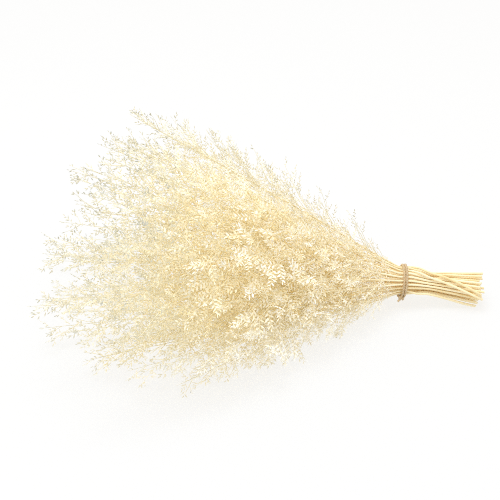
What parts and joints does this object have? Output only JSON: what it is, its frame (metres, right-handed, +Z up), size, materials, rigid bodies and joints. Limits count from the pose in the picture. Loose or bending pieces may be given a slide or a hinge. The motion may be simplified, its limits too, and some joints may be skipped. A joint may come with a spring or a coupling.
{
  "type": "preserved ruscus bunch",
  "caption": "Bunch of bleached, finely leaved stems lying on its side: a fan-shaped airy head, tied near the cut ends with twine.",
  "frame": {"origin": "on the table, under the middle of the bunch's bounding box", "axes": "+X from the head towards the cut ends, +Y away from the viewer, +Z up from the table the bunch lies on"},
  "size_m": [0.5372, 0.3966, 0.2482],
  "materials": {
    "foliage": "dry, matt, bleached cream",
    "twine": "rough jute"
  },
  "bodies": {
    "root": {"leafy_stem_01": "foliage", "leafy_stem_02": "foliage", "leafy_stem_03": "foliage", "leafy_stem_04": "foliage", "leafy_stem_05": "foliage", "leafy_stem_06": "foliage", "leafy_stem_07": "foliage", "leafy_stem_08": "foliage", "leafy_stem_09": "foliage", "leafy_stem_10": "foliage", "leafy_stem_11": "foliage", "leafy_stem_12": "foliage", "leafy_stem_13": "foliage", "leafy_stem_14": "foliage", "leafy_stem_15": "foliage", "leafy_stem_16": "foliage", "leafy_stem_17": "foliage", "leafy_stem_18": "foliage", "leafy_stem_19": "foliage", "leafy_stem_20": "foliage", "leafy_stem_21": "foliage", "leafy_stem_22": "foliage", "leafy_stem_23": "foliage", "leafy_stem_24": "foliage", "leafy_stem_25": "foliage", "leafy_stem_26": "foliage", "leafy_stem_27": "foliage", "leafy_stem_28": "foliage", "leafy_stem_29": "foliage", "leafy_stem_30": "foliage", "leafy_stem_31": "foliage", "leafy_stem_32": "foliage", "leafy_stem_33": "foliage", "leafy_stem_34": "foliage", "leafy_stem_35": "foliage", "leafy_stem_36": "foliage", "leafy_stem_37": "foliage", "leafy_stem_38": "foliage", "leafy_stem_39": "foliage", "leafy_stem_40": "foliage", "leafy_stem_41": "foliage", "leafy_stem_42": "foliage", "leafy_stem_43": "foliage", "leafy_stem_44": "foliage", "leafy_stem_45": "foliage", "leafy_stem_46": "foliage", "leafy_stem_47": "foliage", "leafy_stem_48": "foliage", "twine": "twine"}
  },
  "joints": []
}
